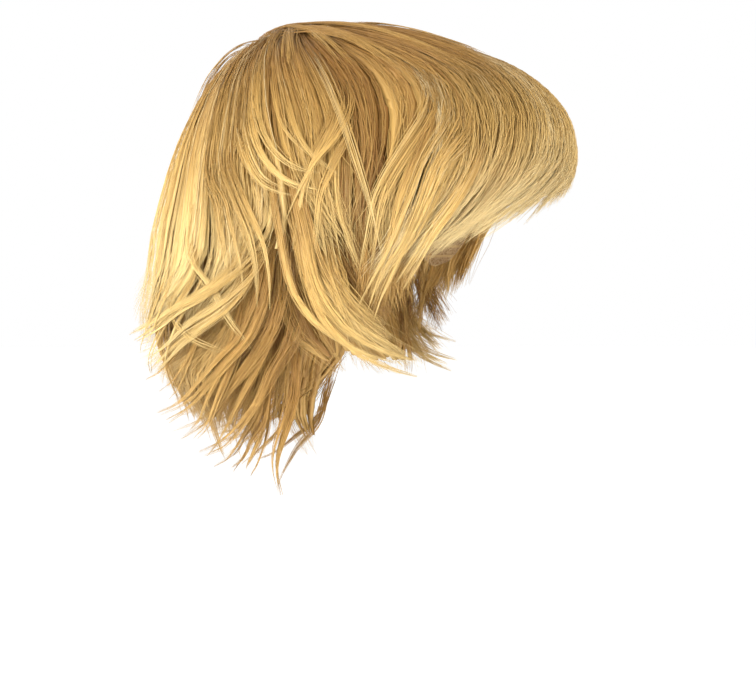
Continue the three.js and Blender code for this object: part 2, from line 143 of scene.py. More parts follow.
# The cap is an open net of fine elastic lace, sewn in one piece, with bands of stitching round it
# that carry the wefts. It keeps its CAD form and shows only from below and between the locks.
LACE_COLOUR = (0.5, 0.34, 0.17, 1)
# The net's holes are painted darker than its threads, as the shade seen through them.
HOLE_SHADE_COLOUR = (0.33, 0.2, 0.09, 1)
WEFT_COLOUR = (0.56, 0.38, 0.17, 1)
LACE_ROUGHNESS = 0.8
LACE_SCALE = 620
THREAD_EDGE = 0.25
WEFT_SCALE = 52
WEFT_WAVINESS = 0.6
WEFT_EDGES = (0.78, 0.92)
LACE_RELIEF = 0.0006

lace, tree, shader = new_material("cap lace")
shader.inputs["Roughness"].default_value = LACE_ROUGHNESS
place = add_node(tree, "ShaderNodeTexCoord")
mesh_holes = add_node(
    tree, "ShaderNodeTexVoronoi", feature="DISTANCE_TO_EDGE", Scale=LACE_SCALE
)
thread = add_node(tree, "ShaderNodeMapRange", From_Max=THREAD_EDGE)
weft = add_node(
    tree, "ShaderNodeTexWave", bands_direction="Z", Scale=WEFT_SCALE, Distortion=WEFT_WAVINESS
)
sewn = add_node(tree, "ShaderNodeMapRange", From_Min=WEFT_EDGES[0], From_Max=WEFT_EDGES[1])
lace_tint = add_node(tree, "ShaderNodeMix", data_type="RGBA")
lace_tint.inputs[MIX_FIRST].default_value = LACE_COLOUR
lace_tint.inputs[MIX_SECOND].default_value = HOLE_SHADE_COLOUR
weft_tint = add_node(tree, "ShaderNodeMix", data_type="RGBA")
weft_tint.inputs[MIX_SECOND].default_value = WEFT_COLOUR
relief = add_node(tree, "ShaderNodeMath", operation="ADD")
bump = add_node(tree, "ShaderNodeBump", Strength=0.5, Distance=LACE_RELIEF)
tree.links.new(place.outputs["Object"], mesh_holes.inputs["Vector"])
tree.links.new(place.outputs["Object"], weft.inputs["Vector"])
tree.links.new(mesh_holes.outputs["Distance"], thread.inputs["Value"])
tree.links.new(weft.outputs["Fac"], sewn.inputs["Value"])
tree.links.new(thread.outputs["Result"], lace_tint.inputs["Factor"])
tree.links.new(lace_tint.outputs[MIX_RESULT], weft_tint.inputs[MIX_FIRST])
tree.links.new(sewn.outputs["Result"], weft_tint.inputs["Factor"])
tree.links.new(weft_tint.outputs[MIX_RESULT], shader.inputs["Base Color"])
tree.links.new(sewn.outputs["Result"], relief.inputs[0])
tree.links.new(thread.outputs["Result"], relief.inputs[1])
tree.links.new(relief.outputs["Value"], bump.inputs["Height"])
tree.links.new(bump.outputs["Normal"], shader.inputs["Normal"])
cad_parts["cap"].data.materials.clear()
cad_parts["cap"].data.materials.append(lace)


# The crown hair is the top layer: straight fibre sewn in rows to the top of the cap, falling from
# a whorl towards the back over the top, the sides and the upper back, with thinned ends.
HEAD_LENGTH = 0.19
HEAD_BREADTH = 0.15
HAIR_DROP = 0.267  # from the top of the head to the lowest tip
LEVELS = (0, 0.04, 0.1, 0.18, 0.27, 0.36, 0.45, 0.54, 0.63, 0.72, 0.81, 0.9, 1)
HEAD = {
    "front": (
        0.24, 0.15, 0.01, -0.18, -0.34, -0.43, -0.47, -0.47, -0.44, -0.41, -0.38, -0.35, -0.33,
    ),
    "centre": (0.24, 0.23, 0.21, 0.18, 0.14, 0.105, 0.075, 0.05, 0.04, 0.04, 0.04, 0.04, 0.04),
    "back": (0.24, 0.32, 0.39, 0.46, 0.51, 0.53, 0.525, 0.495, 0.437, 0.368, 0.32, 0.3, 0.3),
    "side": (0, 0.12, 0.25, 0.38, 0.46, 0.495, 0.5, 0.487, 0.46, 0.42, 0.387, 0.373, 0.373),
    "front_drop": (0.026, 0.011, 0, 0.03, 0.097, 0.195, 0.318, 0.42, 0.543, 0.644, 0.738, 0.861, 1),
    "side_drop": (
        0.026, 0.03, 0.045, 0.112, 0.195, 0.285, 0.378, 0.472, 0.566, 0.66, 0.757, 0.869, 1,
    ),
    "back_drop": (
        0.026, 0.049, 0.09, 0.157, 0.232, 0.315, 0.404, 0.494, 0.584, 0.674, 0.772, 0.876, 1,
    ),
}
HAIR = {
    "front": (
        0.24, 0.13, -0.02, -0.24, -0.45, -0.59, -0.635, -0.6, -0.55, -0.5, -0.47, -0.42, -0.37,
    ),
    "centre": (0.24, 0.23, 0.21, 0.18, 0.14, 0.105, 0.075, 0.05, 0.04, 0.04, 0.04, 0.04, 0.04),
    "back": (0.24, 0.34, 0.43, 0.52, 0.59, 0.645, 0.685, 0.72, 0.735, 0.735, 0.66, 0.51, 0.36),
    "side": (0, 0.16, 0.31, 0.465, 0.57, 0.63, 0.665, 0.675, 0.675, 0.66, 0.61, 0.52, 0.41),
    "front_drop": (
        -0.036, -0.047, -0.048, -0.014, 0.052, 0.142, 0.247, 0.352, 0.45, 0.562, 0.693, 0.843, 1,
    ),
    "side_drop": (
        -0.036, -0.032, -0.011, 0.05, 0.14, 0.24, 0.34, 0.442, 0.543, 0.644, 0.749, 0.861, 1,
    ),
    "back_drop": (
        -0.036, -0.018, 0.008, 0.072, 0.157, 0.24, 0.33, 0.42, 0.517, 0.614, 0.719, 0.843, 1,
    ),
}
# A layer's flow table says, at places across it, at what angle its hair leaves the whorl (origin),
# at which levels its locks part (split) and end, how far their ends flick outwards (a share) and
# hook sideways (degrees), and how light they are (tone). The tone is partly the fibre's own
# lighter and darker colour and partly painted shade and painted light: lower where a layer lies
# in shade, as at the sides under the crown's locks, and higher where the light falls full on it,
# as on the fringe and the back.
FLOW_FIELDS = ("origin", "split", "end", "flick", "hook", "tone")

WISPS_IN_LOCK = 10
LOCK_SPREAD = {"end": 0.012, "hook": 5, "tone": 0.06}  # standard deviations, as for the wisps
LOCK_LIFT = (-0.7, 0.8)
WISP_SPREAD = {"end": 0.008, "sway": 1.3, "tone": 0.11}
WISP_LIFT = (-0.25, 0.3)
DRIFTING_SHARE = 0.25  # of the wisps, which drift sideways and lift off their neighbours
LIFT_BY_DRIFT = 0.15
WISP_SWAYS = 1.3  # waves from root to tip
WISP_NARROWING = (0.1, 0.8)  # along the whole hair, and more at its free end
STRAY_SWAYS = 1.2
STRAY_SWAY = 0.4
DEEPEST_HAIR = 0.8  # of the layer's thickness
ROOT_RISE = 0.07  # levels over which a hair comes up from under the others
TOP_ROOTS = 0.03  # levels of roots at the layer's top that lie open
RELIEF_RUN = 0.25  # levels from the whorl over which the locks' relief grows

WISP_THICKNESS = 0.0005
BODY_REACH = 1.35  # from the middle of a wisp, in wisps, so that the bodies overlap
BODY_SAMPLES = 14
BODY_SHORTFALL = 0.06
BODY_ROOT_SPREAD = 0.3
BODY_FULLNESS = ((0, 0.15, 0.7, 1), (0.3, 1, 0.8, 0.1))  # places from root to tip, then shares
BODY_TONES = np.array((-0.1, 0, 0.1, 0)) - 0.1  # at its left, top, right and under side
MIDDLE_TONE = 0.5

STRAND_SAMPLES = 10
STRAND_WIDTH = 0.00045
STRAND_WIDTHS = (0.7, 1.25)  # the thinnest and the thickest, as shares
STRAND_FLATNESS = 0.6
STRAND_TAPER = ((0, 0.3, 0.7, 1), (0.7, 1, 0.9, 0.25))
STRAND_SHORTFALL = 0.16
STRAND_TONE_SPREAD = 0.07
STRAND_DEPTH = 0.7
STRAND_DEPTH_SHADE = 0.25
STRAY_SPREAD = 2.4
STRAY_SHARE = 0.5
ROUND_STRAND = np.radians((0, 120, 240))
MAP_EDGES = (0.01, 0.99)

LAID_WISP = 0.003  # the width of a wisp of a laid lock
LAID_OVERLAP = 1.5
ROOT_SPREAD = np.array((0.012, 1.6, 0.006))  # of level, angle and share
TIP_SPREAD = np.array((0.006, 2.4, 0.015))
LAID_SHAPE = ((0, 0.3, 0.6, 0.85, 1), (1, 1, 0.85, 0.55, 0.25))
LAID_ROOT_DEPTH = 0.003
LAID_ROOT_RISE = 0.35
LAID_START_SPREAD = 0.4
LAID_END_SPREAD = 0.45
LAID_ASIDE = 0.7  # in half widths of the wisp
FARTHEST_ASIDE = 1.8
LAID_SWAY = 0.16
LAID_SWAYS = 1.4
LAID_CREST = 0.06  # in widths of the wisp, as the next
LAID_DEPTH = 0.14
LAID_TONE_SPREAD = 0.05
LAID_DEPTH_SHADE = 0.14
LAID_BAND_TONE = 0.08
LAID_BANDS = 1.7


def smooth(x, knots, values):
    """The value at x of the smooth curve that goes through the values at the knots."""
    knots = np.asarray(knots, float)
    values = np.asarray(values, float)
    slopes = np.gradient(values, knots)
    i = np.clip(np.searchsorted(knots, x) - 1, 0, len(knots) - 2)
    span = knots[i + 1] - knots[i]
    u = np.clip((x - knots[i]) / span, 0, 1)
    rise = u * u * (3 - 2 * u)
    bend = span * (u * (1 - u) ** 2 * slopes[i] - u * u * (1 - u) * slopes[i + 1])
    return values[i] + (values[i + 1] - values[i]) * rise + bend


def form_point(form, level, angle):
    """A point of the head or hair form: level 0 is the whorl and 1 the lowest tip, angle 0 is the
    face, 90 the wearer's right and 180 the back."""
    turn = np.radians(angle)
    along = np.cos(turn)
    row = {name: smooth(level, LEVELS, values) for name, values in form.items()}
    end = np.where(along > 0, row["front"], row["back"])
    drop = np.where(along > 0, row["front_drop"], row["back_drop"])
    x = -row["side"] * np.sin(turn) * HEAD_BREADTH
    y = (row["centre"] + (end - row["centre"]) * np.abs(along)) * HEAD_LENGTH
    z = -(row["side_drop"] + (drop - row["side_drop"]) * along**2) * HAIR_DROP
    return np.stack([x, y, z], -1)


def unit(vectors):
    """The vectors, each made one long."""
    return vectors / np.maximum(np.linalg.norm(vectors, axis=-1, keepdims=True), 1e-9)


def hair_point(level, angle, share, beyond):
    """A point between the head (share 0) and the hair's outer form (share 1), moved outwards by
    beyond metres, with the outward direction there."""
    head = form_point(HEAD, level, angle)
    gap = form_point(HAIR, level, angle) - head
    outward = unit(gap)
    return head + gap * share[..., None] + outward * beyond[..., None], outward


def flow_at(layer, place):
    """How a layer runs at a place across it, between the rows of its flow table. A layer that goes
    round the head has a table of its right half, and its left half mirrors it."""
    rows = np.array(layer["flow"], float)
    right = np.minimum(place, 1 - place) if layer["round"] else place
    columns = zip(FLOW_FIELDS, rows.T[1:])
    return {name: np.interp(right, rows[:, 0], column) for name, column in columns}


def combed_angle(comb, origin, level):
    """The angle at a level of the hair that leaves the whorl at the angle origin."""
    rows = np.array(comb["angles"], float)
    columns = np.stack([np.interp(origin, rows[:, 0], column) for column in rows.T])
    step = np.clip((level - comb["first_level"]) / comb["level_step"], 0, len(columns) - 1.001)
    i = step.astype(int)
    u = step - i
    around = [np.clip(i + k, 0, len(columns) - 1)[None] for k in (-1, 0, 1, 2)]
    before, here, ahead, beyond = (np.take_along_axis(columns, row, 0)[0] for row in around)
    rise = u * u * (3 - 2 * u)
    bend = (u * (1 - u) ** 2 * (ahead - before) - u * u * (1 - u) * (beyond - here)) / 2
    return here + (ahead - here) * rise + bend


def band_at(band, level):
    """The shares at a level of a layer's inner and outer side."""
    rows = np.array(band, float)
    return np.interp(level, rows[:, 0], rows[:, 1]), np.interp(level, rows[:, 0], rows[:, 2])


def lock_manner(layer, seed):
    """How each lock and wisp of a layer departs from the layer's flow, as arrays of one value for
    each, so that the wisps' bodies and their loose strands go the same way."""
    draw = np.random.default_rng(seed)
    locks = layer["locks"]
    wisps = locks * WISPS_IN_LOCK
    drift = draw.normal(0, layer["drift"], wisps) * (draw.random(wisps) < DRIFTING_SHARE)
    return {
        "lock_end": draw.normal(0, LOCK_SPREAD["end"], locks),
        "lock_hook": draw.normal(0, LOCK_SPREAD["hook"], locks),
        "lock_lift": draw.uniform(*LOCK_LIFT, locks),
        "lock_tone": draw.normal(0, LOCK_SPREAD["tone"], locks),
        "wisp_end": draw.normal(0, WISP_SPREAD["end"], wisps),
        "wisp_drift": drift,
        "wisp_lift": draw.uniform(*WISP_LIFT, wisps) + LIFT_BY_DRIFT * np.abs(drift),
        "wisp_sway": draw.normal(0, WISP_SPREAD["sway"], wisps),
        "wisp_phase": draw.random(wisps),
        "wisp_tone": draw.normal(0, WISP_SPREAD["tone"], wisps),
    }


def layer_lines(layer, manner, wisp, place, depth, stray, start, shortfall, samples):
    """Lines from root to tip through a layer: each at a place across it (0 to 1), in its wisp, at a
    depth under its outer side. Lines gather in wisps and wisps in locks, more so at the ends."""
    locks = layer["locks"]
    wisps = locks * WISPS_IN_LOCK
    lock = wisp // WISPS_IN_LOCK
    lock_middle = (lock + 0.5) / locks
    wisp_middle = (wisp + 0.5) / wisps
    at_lock = flow_at(layer, lock_middle)
    split = at_lock["split"][:, None]
    end = at_lock["end"] + manner["lock_end"][lock] + manner["wisp_end"][wisp]
    end = (end - shortfall * (end - start))[:, None]
    start = start[:, None]
    t = np.linspace(0, 1, samples)[None, :]
    level = start + (end - start) * t
    free = np.clip((level - split) / (end - split), 0, 1)
    from_lock = (wisp_middle - lock_middle)[:, None] * (1 - layer["gather"] * free**1.5)
    narrowing = 1 - WISP_NARROWING[0] * t - WISP_NARROWING[1] * free**2
    across = lock_middle[:, None] + from_lock + (place - wisp_middle)[:, None] * narrowing
    row = flow_at(layer, across)
    angle = combed_angle(layer["comb"], row["origin"], level)
    angle = angle + row["hook"] * free**2
    if layer["round"]:
        angle = np.where(across > 0.5, 360 - angle, angle)
    angle = angle + manner["lock_hook"][lock][:, None] * free**2
    angle = angle + manner["wisp_drift"][wisp][:, None] * t**2
    stray = stray[:, None]
    stray_sway = STRAY_SWAY * np.sin(2 * np.pi * (STRAY_SWAYS * t + stray))
    angle = angle + stray * (t**2 + stray_sway)
    sway = np.sin(2 * np.pi * (WISP_SWAYS * t + manner["wisp_phase"][wisp][:, None])) * t
    angle = angle + manner["wisp_sway"][wisp][:, None] * sway
    inner, outer = band_at(layer["band"], level)
    buried = 1 - np.clip((level - start) / ROOT_RISE, 0, 1)
    buried = buried * (start > layer["root"] + TOP_ROOTS)
    sunk = depth[:, None] + (1 - depth[:, None]) * buried
    share = outer - (outer - inner) * sunk * DEEPEST_HAIR + row["flick"] * free**2
    crest = 1 - (2 * (place * locks - lock) - 1) ** 2
    lift = layer["relief"] * (crest - 1 + manner["lock_lift"][lock] + manner["wisp_lift"][wisp])
    lift = lift[:, None] * np.clip(level / RELIEF_RUN, 0, 1)
    points, outward = hair_point(level, angle, share, lift)
    return points, outward, np.interp(level, layer["length_seen"], (0, 1))


def ribbon(left, middle, right, outward, thickness):
    """The four-sided rings of a closed flat body between its left and right edge lines."""
    t = np.linspace(0, 1, middle.shape[1])
    fullness = np.interp(t, *BODY_FULLNESS)[None, :, None]
    rise = outward * thickness * fullness
    return np.stack([left, middle + rise, right, middle - rise], axis=2)


def fibres(lines, outward, width, draw):
    """The three-sided rings of thin tapered strands along the lines."""
    t = np.linspace(0, 1, lines.shape[1])
    taper = np.interp(t, *STRAND_TAPER)
    radius = (width / 2 * draw.uniform(*STRAND_WIDTHS, len(lines)))[:, None] * taper[None, :]
    ahead = unit(np.gradient(lines, axis=1))
    side = unit(np.cross(ahead, outward))
    up = np.cross(side, ahead)
    ring = np.cos(ROUND_STRAND)[:, None] * up[:, :, None, :] * STRAND_FLATNESS
    ring = ring + np.sin(ROUND_STRAND)[:, None] * side[:, :, None, :]
    return lines[:, :, None, :] + ring * radius[:, :, None, None]


def layer_hair(layer, seed):
    """The hair of one layer: a body for each wisp, and loose strands over and between them. Each
    part is its rings, the tone of each ring corner and each ring's place along the fibre."""
    manner = lock_manner(layer, seed)
    draw = np.random.default_rng(seed + 1)
    wisps = layer["locks"] * WISPS_IN_LOCK
    wisp = np.arange(wisps)
    middle_place = (wisp + 0.5) / wisps
    half_deep = np.full(wisps, 0.5)
    no_stray = np.zeros(wisps)
    start = layer["root"] + BODY_ROOT_SPREAD * layer["root_spread"] * draw.random(wisps)
    edges = []
    for reach in (-BODY_REACH, 0, BODY_REACH):
        place = middle_place + reach / wisps
        edge = layer_lines(
            layer, manner, wisp, place, half_deep, no_stray, start, BODY_SHORTFALL, BODY_SAMPLES
        )
        edges.append(edge)
    (left, _, _), (middle, outward, length_place), (right, _, _) = edges
    bodies = ribbon(left, middle, right, outward, WISP_THICKNESS)
    wisp_tone = MIDDLE_TONE + manner["lock_tone"][wisp // WISPS_IN_LOCK] + manner["wisp_tone"]
    wisp_tone = wisp_tone + flow_at(layer, middle_place)["tone"]
    body_tone = wisp_tone[:, None, None] + np.broadcast_to(BODY_TONES, bodies.shape[:3])
    bodies_part = (bodies, body_tone, length_place)

    strands = layer["strands"]
    place = draw.random(strands)
    wisp = np.floor(place * wisps).astype(int)
    depth = STRAND_DEPTH * draw.random(strands) ** 1.5
    start = layer["root"] + layer["root_spread"] * draw.random(strands) ** 2
    shortfall = STRAND_SHORTFALL * draw.random(strands) ** 2
    stray = draw.normal(0, STRAY_SPREAD, strands) * (draw.random(strands) < STRAY_SHARE)
    lines, outward, length_place = layer_lines(
        layer, manner, wisp, place, depth, stray, start, shortfall, STRAND_SAMPLES
    )
    loose = fibres(lines, outward, STRAND_WIDTH, draw)
    tone = wisp_tone[wisp] + draw.normal(0, STRAND_TONE_SPREAD, strands) - STRAND_DEPTH_SHADE * depth
    tone = np.broadcast_to(tone[:, None, None], loose.shape[:3])
    return [bodies_part, (loose, tone, length_place)]


def shaped_lock(path, width, strands, tone, length_seen, draw):
    """The strands of one wisp laid along a path of (level, angle, share). The wisp comes up out of
    the hair below at its root and thins to a few strands at its tip."""
    level, angle, share = path.T
    points, _ = hair_point(level, angle, share, np.zeros(len(path)))
    run = np.concatenate([[0], np.cumsum(np.linalg.norm(np.diff(points, axis=0), axis=1))])
    run = run / run[-1]

    wave = draw.random()
    start = LAID_START_SPREAD * draw.random(strands)
    end = 1 - LAID_END_SPREAD * draw.random(strands) ** 1.9
    t = start[:, None] + (end - start)[:, None] * np.linspace(0, 1, STRAND_SAMPLES)[None, :]
    aside = np.clip(draw.normal(0, LAID_ASIDE, strands), -FARTHEST_ASIDE, FARTHEST_ASIDE)[:, None]
    sway = draw.normal(0, LAID_SWAY, strands)[:, None]
    sway = sway * np.sin(2 * np.pi * (LAID_SWAYS * t + draw.random(strands)[:, None]))
    sink = draw.random(strands)[:, None]
    above = width * (LAID_CREST * (1 - aside**2 / 3) - LAID_DEPTH * sink)

    sunk = LAID_ROOT_DEPTH * np.clip(1 - t / LAID_ROOT_RISE, 0, 1) ** 2
    places = [smooth(t, run, values) for values in (level, angle, share)]
    lines, outward = hair_point(*places, -sunk)
    side = unit(np.cross(np.gradient(lines, axis=1), outward))
    shape = np.interp(t, *LAID_SHAPE)
    lines = lines + side * (width / 2 * (aside + sway) * shape)[..., None]
    lines = lines + outward * (above * shape)[..., None]
    loose = fibres(lines, outward, STRAND_WIDTH, draw)
    tone = tone + draw.normal(0, STRAND_TONE_SPREAD, strands) - LAID_DEPTH_SHADE * sink[:, 0]
    tone = tone + LAID_BAND_TONE * np.sin(2 * np.pi * (LAID_BANDS * aside[:, 0] + wave))
    tone = np.broadcast_to(tone[:, None, None], loose.shape[:3])
    return loose, tone, length_seen[0] + (length_seen[1] - length_seen[0]) * t


def hair_object(name, parts, material):
    """One mesh of closed tapered bodies and strands. Its map has the tone across and the length
    from root to tip upwards, which the strand tint reads."""
    places, walls, ends, maps = [], [], [], []
    first = 0
    for rings, tone, length_place in parts:
        count, samples, sides = rings.shape[:3]
        corner = first + np.arange(count * samples * sides).reshape(count, samples, sides)
        after = np.roll(corner, -1, axis=2)
        four = [corner[:, :-1], after[:, :-1], after[:, 1:], corner[:, 1:]]
        walls.append(np.stack(four, -1).reshape(-1, 4))
        for k in range(1, sides - 1):
            ends.append(corner[:, 0, (0, k + 1, k)])
            ends.append(corner[:, -1, (0, k, k + 1)])
        places.append(rings.reshape(-1, 3))
        upwards = np.broadcast_to(length_place[:, :, None], tone.shape)
        maps.append(np.clip(np.stack([tone, upwards], -1), *MAP_EDGES).reshape(-1, 2))
        first += corner.size
    places, walls, ends, maps = (np.concatenate(group) for group in (places, walls, ends, maps))
    loops = np.concatenate([walls.ravel(), ends.ravel()])
    wall_starts = np.arange(len(walls)) * 4
    end_starts = len(walls) * 4 + np.arange(len(ends)) * 3
    starts = np.concatenate([wall_starts, end_starts])

    mesh = bpy.data.meshes.new(name)
    mesh.vertices.add(len(places))
    mesh.vertices.foreach_set("co", places.astype(np.float32).ravel())
    mesh.loops.add(len(loops))
    mesh.loops.foreach_set("vertex_index", loops.astype(np.int32))
    mesh.polygons.add(len(starts))
    mesh.polygons.foreach_set("loop_start", starts.astype(np.int32))
    mesh.polygons.foreach_set("use_smooth", np.ones(len(starts), bool))
    strand_map = mesh.uv_layers.new(name="OFBake")
    strand_map.data.foreach_set("uv", maps[loops].astype(np.float32).ravel())
    mesh.materials.append(material)
    mesh.update(calc_edges=True)
    made = bpy.data.objects.new(name, mesh)
    scene.collection.objects.link(made)
    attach(made, "root")
    return made


# The strand tint paints light and shade into the fibre's colour. The Root tint is painted shade at
# the roots, where little light reaches into the hair, and the Shadow and Highlight tints, which the
# tone mixes in, are painted shade and painted highlight.
STREAK_STRETCH = (38, 4, 1)
ROOT_TO_LENGTH = (0.15, 0.75)  # places along the fibre where one tint goes over to the next
LENGTH_TO_TIP = (0.55, 0.95)
SHADOW_TONES = (-0.05, 0.5)
HIGHLIGHT_TONES = (0.55, 1.1)
SPECKLE_NOISE = (0.3, 0.7)
SPECKLE_BRIGHTNESS = (0.8, 1.12)
GROOVE_DEPTH = 0.0004
FIBRE_SHEEN = 0.35

strand_tint = bpy.data.node_groups.new("strand tint", "ShaderNodeTree")
for label in ("Root", "Length", "Tip", "Shadow", "Highlight"):
    strand_tint.interface.new_socket(label, in_out="INPUT", socket_type="NodeSocketColor")
strand_tint.interface.new_socket("Color", in_out="OUTPUT", socket_type="NodeSocketColor")
strand_tint.interface.new_socket("Relief", in_out="OUTPUT", socket_type="NodeSocketFloat")
given = strand_tint.nodes.new("NodeGroupInput")
result = strand_tint.nodes.new("NodeGroupOutput")
strand_map = add_node(strand_tint, "ShaderNodeUVMap", uv_map="OFBake")
split_map = add_node(strand_tint, "ShaderNodeSeparateXYZ")
strand_tint.links.new(strand_map.outputs["UV"], split_map.inputs["Vector"])
streak = add_node(strand_tint, "ShaderNodeTexNoise", Scale=1, Detail=3)
stretch = add_node(strand_tint, "ShaderNodeMapping")
stretch.inputs["Scale"].default_value = STREAK_STRETCH
strand_tint.links.new(strand_map.outputs["UV"], stretch.inputs["Vector"])
strand_tint.links.new(stretch.outputs["Vector"], streak.inputs["Vector"])


def mixed(first, second, factor):
    """The mix of two colours of the strand tint, each a socket."""
    mix = add_node(strand_tint, "ShaderNodeMix", data_type="RGBA")
    strand_tint.links.new(first, mix.inputs[MIX_FIRST])
    strand_tint.links.new(second, mix.inputs[MIX_SECOND])
    strand_tint.links.new(factor, mix.inputs["Factor"])
    return mix.outputs[MIX_RESULT]


def ranged(value, low, high):
    """How far a value is from low to high, smoothly."""
    made = add_node(strand_tint, "ShaderNodeMapRange", interpolation_type="SMOOTHSTEP")
    made.inputs["From Min"].default_value = low
    made.inputs["From Max"].default_value = high
    strand_tint.links.new(value, made.inputs["Value"])
    return made.outputs["Result"]


tone_place = split_map.outputs["X"]
length_place = split_map.outputs["Y"]
past_root = ranged(length_place, *ROOT_TO_LENGTH)
root_half = mixed(given.outputs["Root"], given.outputs["Length"], past_root)
near_tip = ranged(length_place, *LENGTH_TO_TIP)
whole_length = mixed(root_half, given.outputs["Tip"], near_tip)
out_of_shadow = ranged(tone_place, *SHADOW_TONES)
shaded = mixed(given.outputs["Shadow"], whole_length, out_of_shadow)
lit = mixed(shaded, given.outputs["Highlight"], ranged(tone_place, *HIGHLIGHT_TONES))
speckle = add_node(strand_tint, "ShaderNodeMapRange")
speckle.inputs["From Min"].default_value = SPECKLE_NOISE[0]
speckle.inputs["From Max"].default_value = SPECKLE_NOISE[1]
speckle.inputs["To Min"].default_value = SPECKLE_BRIGHTNESS[0]
speckle.inputs["To Max"].default_value = SPECKLE_BRIGHTNESS[1]
strand_tint.links.new(streak.outputs["Fac"], speckle.inputs["Value"])
scaled = add_node(strand_tint, "ShaderNodeVectorMath", operation="SCALE")
strand_tint.links.new(lit, scaled.inputs[0])
strand_tint.links.new(speckle.outputs["Result"], scaled.inputs["Scale"])
strand_tint.links.new(scaled.outputs[0], result.inputs["Color"])
strand_tint.links.new(streak.outputs["Fac"], result.inputs["Relief"])


def fibre_material(name, tints, roughness):
    """Satin wig fibre in the given tints, from root to tip and from shadow to highlight."""
    made, tree, shader = new_material(name)
    tint = add_node(tree, "ShaderNodeGroup", node_tree=strand_tint)
    for label, value in tints.items():
        tint.inputs[label].default_value = (*value, 1)
    tree.links.new(tint.outputs["Color"], shader.inputs["Base Color"])
    groove = add_node(tree, "ShaderNodeBump", Strength=0.6, Distance=GROOVE_DEPTH)
    tree.links.new(tint.outputs["Relief"], groove.inputs["Height"])
    tree.links.new(groove.outputs["Normal"], shader.inputs["Normal"])
    shader.inputs["Roughness"].default_value = roughness
    shader.inputs["Specular IOR Level"].default_value = FIBRE_SHEEN
    return made


COMB = {  # how the hair lies from the whorl down: its angle at level 0.1, then at each 0.1 more
    "first_level": 0.1,
    "level_step": 0.1,
    "angles": (
        (0, 0, 0, 0, 0, 0, 0, 0, 0, 0),
        (40, 34, 36, 42, 52, 62, 70, 78, 80, 82),
        (52, 43, 44, 53, 63, 72, 80, 84, 88, 90),
        (58, 48, 49, 61, 68, 74.5, 80.5, 86, 90, 92),
        (63, 53, 56, 69, 76, 78.5, 80.5, 86, 90, 92),
        (71, 64, 68, 73.5, 78, 80, 80.5, 84, 88, 90),
        (80, 76, 77, 79, 80.5, 80.5, 80.5, 80, 80, 80),
        (88, 83, 81.5, 83, 85.5, 84.5, 81, 78, 76, 75),
        (92, 89, 87, 87.5, 88.5, 87, 81.5, 76, 74, 73),
        (99, 95, 91.5, 90.5, 92, 90.5, 83.5, 72, 68, 66),
        (105, 102, 99.7, 98.8, 98, 96.3, 86.5, 72, 66, 64),
        (111, 108.5, 107.7, 105.5, 105, 107.3, 108, 113, 125, 130),
        (119, 117, 115.5, 115, 111.5, 113, 119.5, 133, 145, 150),
        (128, 125.5, 123.5, 122, 119, 119.5, 128, 139, 146, 149),
        (140, 136, 133, 131, 128, 128.5, 134, 143, 149, 151),
        (152, 151, 150, 148, 149, 151, 154, 158, 161, 162),
        (180, 180, 180, 180, 180, 180, 180, 180, 180, 180),
    ),
}
CROWN = {
    "flow": (  # place, origin, split, end, flick, hook, tone
        (0, 0, 0.1, 0.22, 0, 4, 0),
        (0.13, 44, 0.1, 0.27, 0, 2, -0.12),
        (0.16, 52, 0.3, 0.54, 0, 4, -0.02),
        (0.2, 64, 0.36, 0.58, 0, 3, -0.05),
        (0.24, 78, 0.36, 0.56, 0, 3, -0.32),
        (0.28, 92, 0.36, 0.6, 0.01, 2, -0.08),
        (0.32, 105, 0.36, 0.58, 0.02, -6, 0.06),
        (0.34, 112, 0.36, 0.54, 0.02, -8, 0),
        (0.37, 122, 0.45, 0.66, 0.03, 2, 0.12),
        (0.42, 144, 0.54, 0.75, 0.1, 4, 0.1),
        (0.5, 180, 0.63, 0.77, 0.12, 0, 0.06),
    ),
    "comb": COMB,
    "band": (  # level, and the shares of the layer's inner and outer side
        (0, 0.9, 1),
        (0.1, 0.7, 1),
        (0.27, 0.68, 1),
        (1, 0.72, 1),
    ),
    "root": 0,
    "root_spread": 0.3,
    "gather": 0.65,
    "length_seen": (0, 0.64),
    "relief": 0.0011,
    "strands": 2520,
    "locks": 27,
    "round": True,
    "drift": 4,
}
CROWN_TINTS = {
    "Root": (0.34, 0.175, 0.042),
    "Length": (0.67, 0.43, 0.13),
    "Tip": (0.78, 0.57, 0.23),
    "Shadow": (0.27, 0.125, 0.027),
    "Highlight": (0.9, 0.76, 0.44),
}

